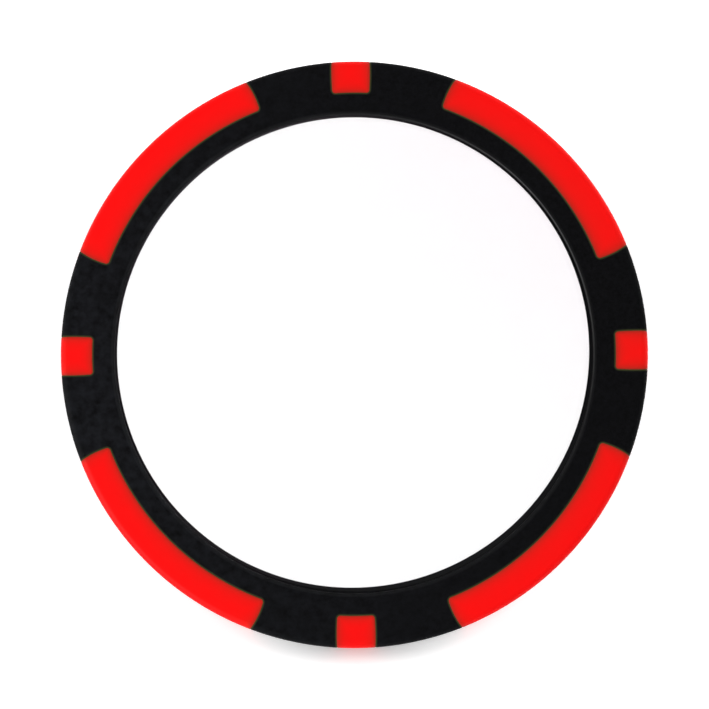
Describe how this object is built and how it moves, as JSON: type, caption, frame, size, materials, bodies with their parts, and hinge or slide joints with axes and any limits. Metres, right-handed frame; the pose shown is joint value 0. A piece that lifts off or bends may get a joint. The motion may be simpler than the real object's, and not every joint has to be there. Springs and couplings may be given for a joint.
{
  "type": "ball marker",
  "caption": "Poker-chip golf ball marker: black moulded disc with red edge spots to the rim, hidden steel slug, and a plain white round label in a shallow recess on each face.",
  "frame": {"origin": "centre of the plane that the back face rests on", "axes": "+Z out of the front face, along the chip's axis; +X and +Y each through a short edge spot"},
  "size_m": [0.04, 0.04, 0.0033],
  "materials": {
    "body_black": "matte black moulded composite with a fine grain",
    "spot_red": "smooth saturated red moulded plastic, a little translucent",
    "slug_steel": "tumbled stamped steel",
    "label_adhesive": "clear pressure-sensitive adhesive",
    "label_white": "plain white vinyl film",
    "label_clear": "clear matte overlaminate film"
  },
  "bodies": {
    "root": {"body_moulding": "body_black", "edge_spot_moulding": "spot_red", "weight_slug": "slug_steel", "front_label_adhesive": "label_adhesive", "front_label_film": "label_white", "front_label_laminate": "label_clear", "back_label_adhesive": "label_adhesive", "back_label_film": "label_white", "back_label_laminate": "label_clear"}
  },
  "joints": []
}
